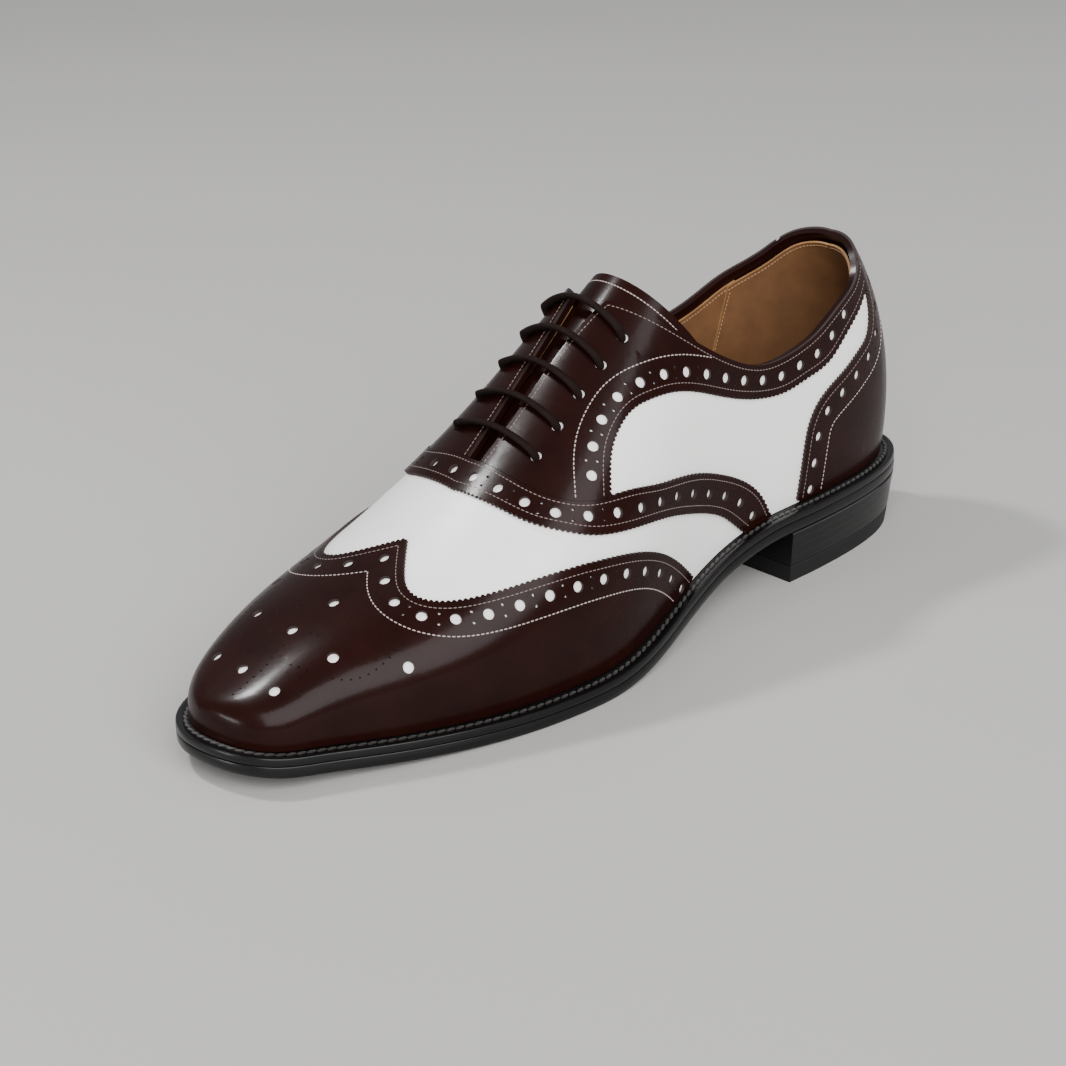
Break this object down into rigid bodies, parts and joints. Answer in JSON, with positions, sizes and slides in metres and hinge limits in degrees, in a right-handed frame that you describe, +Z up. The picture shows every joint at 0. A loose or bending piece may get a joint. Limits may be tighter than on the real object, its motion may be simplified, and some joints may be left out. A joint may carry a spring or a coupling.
{
  "type": "brogue oxford",
  "caption": "Two-tone winged brogue oxford, a left dress shoe: dark brown overlays on a white leather upper, closed lacing, black welt and leather sole with a stacked heel.",
  "frame": {"origin": "on the floor, under the centre of the sole's bounding rectangle", "axes": "+X towards the toe, +Y to the wearer's left, which is the lateral side of this left shoe, +Z up"},
  "size_m": [0.303, 0.1046, 0.1171],
  "materials": {
    "white_leather": "smooth white calf leather, satin",
    "brown_leather": "dark oxblood brown calf leather, polished",
    "tan_leather": "natural tan lining leather, matt",
    "sole_edge": "black stained and waxed sole leather",
    "heel_leather": "stacked leather lifts, black edge dressing",
    "heel_rubber": "black heel rubber, matt",
    "waxed_lace": "thin round waxed cotton, dark brown"
  },
  "bodies": {
    "root": {"outsole": "sole_edge", "welt": "sole_edge", "insole": "tan_leather", "heel_stack": "heel_leather", "heel_top_piece": "heel_rubber", "upper": "white_leather", "toe_cap": "brown_leather", "throat_strap": "brown_leather", "facing_lateral": "brown_leather", "facing_medial": "brown_leather", "counter": "brown_leather", "tongue": "brown_leather", "lace_bar_1": "waxed_lace", "lace_bar_2": "waxed_lace", "lace_bar_3": "waxed_lace", "lace_bar_4": "waxed_lace", "lace_bar_5": "waxed_lace"}
  },
  "joints": []
}
